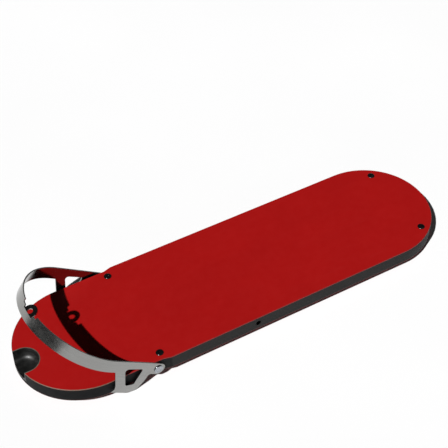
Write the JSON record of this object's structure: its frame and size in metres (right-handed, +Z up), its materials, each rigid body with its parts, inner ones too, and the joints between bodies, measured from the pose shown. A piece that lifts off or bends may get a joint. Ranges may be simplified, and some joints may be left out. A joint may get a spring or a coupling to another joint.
{
  "type": "rescue stretcher board",
  "caption": "Rigid round-ended rescue board with a hinged strip-steel bail that stands up as a hauling hoop, carries a towing eye and has prop legs.",
  "frame": {"origin": "middle of the board's length and width, on the plane that the runners stand on", "axes": "+X along the board towards its plain rear end, +Y towards the far side, +Z up; the bail end is at -X"},
  "size_m": [1.786, 0.5144, 0.3429],
  "materials": {
    "deck_skin": "satin red laminate skin with eased edges",
    "base_skin": "satin red laminate skin, scuffed",
    "charcoal_rim": "moulded charcoal edge, fine pebble",
    "foam": "closed-cell rigid foam",
    "aluminium": "mill finish",
    "black_moulding": "satin black moulding",
    "stainless_strip": "satin brushed stainless sheet",
    "bright_steel": "plain steel fastener",
    "stainless_cap": "turned, light satin",
    "bush_polymer": "natural nylon",
    "black_washer": "black polymer thrust washer",
    "black_screw": "black coated screw head",
    "socket_moulding": "black moulded socket",
    "runner_plastic": "black wear-resistant plastic",
    "brass": "threaded insert"
  },
  "bodies": {
    "board": {"barrel_nut_front_far": "bright_steel", "barrel_nut_front_near": "bright_steel", "barrel_nut_rear_far": "bright_steel", "barrel_nut_rear_near": "bright_steel", "base_panel": "base_skin", "deck_panel": "deck_skin", "deck_screw_front_far": "black_screw", "deck_screw_front_near": "black_screw", "deck_screw_rear_far": "black_screw", "deck_screw_rear_near": "black_screw", "foam_core": "foam", "hand_recess_cup": "black_moulding", "pivot_block_far": "aluminium", "pivot_block_near": "aluminium", "pivot_bolt_far": "bright_steel", "pivot_bolt_near": "bright_steel", "pivot_cap_far": "stainless_cap", "pivot_cap_near": "stainless_cap", "pivot_washer_far": "black_washer", "pivot_washer_near": "black_washer", "rim_dowel_far_high": "bright_steel", "rim_dowel_far_low": "bright_steel", "rim_dowel_near_high": "bright_steel", "rim_dowel_near_low": "bright_steel", "rim_front": "charcoal_rim", "rim_rear": "charcoal_rim", "runner_far": "runner_plastic", "runner_insert_front_far": "brass", "runner_insert_front_near": "brass", "runner_insert_middle_far": "brass", "runner_insert_middle_near": "brass", "runner_insert_rear_far": "brass", "runner_insert_rear_near": "brass", "runner_near": "runner_plastic", "runner_screw_front_far": "bright_steel", "runner_screw_front_near": "bright_steel", "runner_screw_middle_far": "bright_steel", "runner_screw_middle_near": "bright_steel", "runner_screw_rear_far": "bright_steel", "runner_screw_rear_near": "bright_steel", "side_socket_far": "socket_moulding", "side_socket_near": "socket_moulding", "stiffener_far": "aluminium", "stiffener_near": "aluminium"},
    "bail": {"bail_hoop": "stainless_strip", "pivot_bush_near": "bush_polymer", "pivot_bush_far": "bush_polymer"}
  },
  "joints": [
    {"name": "bail_hinge", "type": "hinge", "parent": "board", "child": "bail", "pos_m": [-0.4575, 0, 0.0615], "axis": [0, 1, 0], "range_deg": [-35.65, 84.35]}
  ]
}
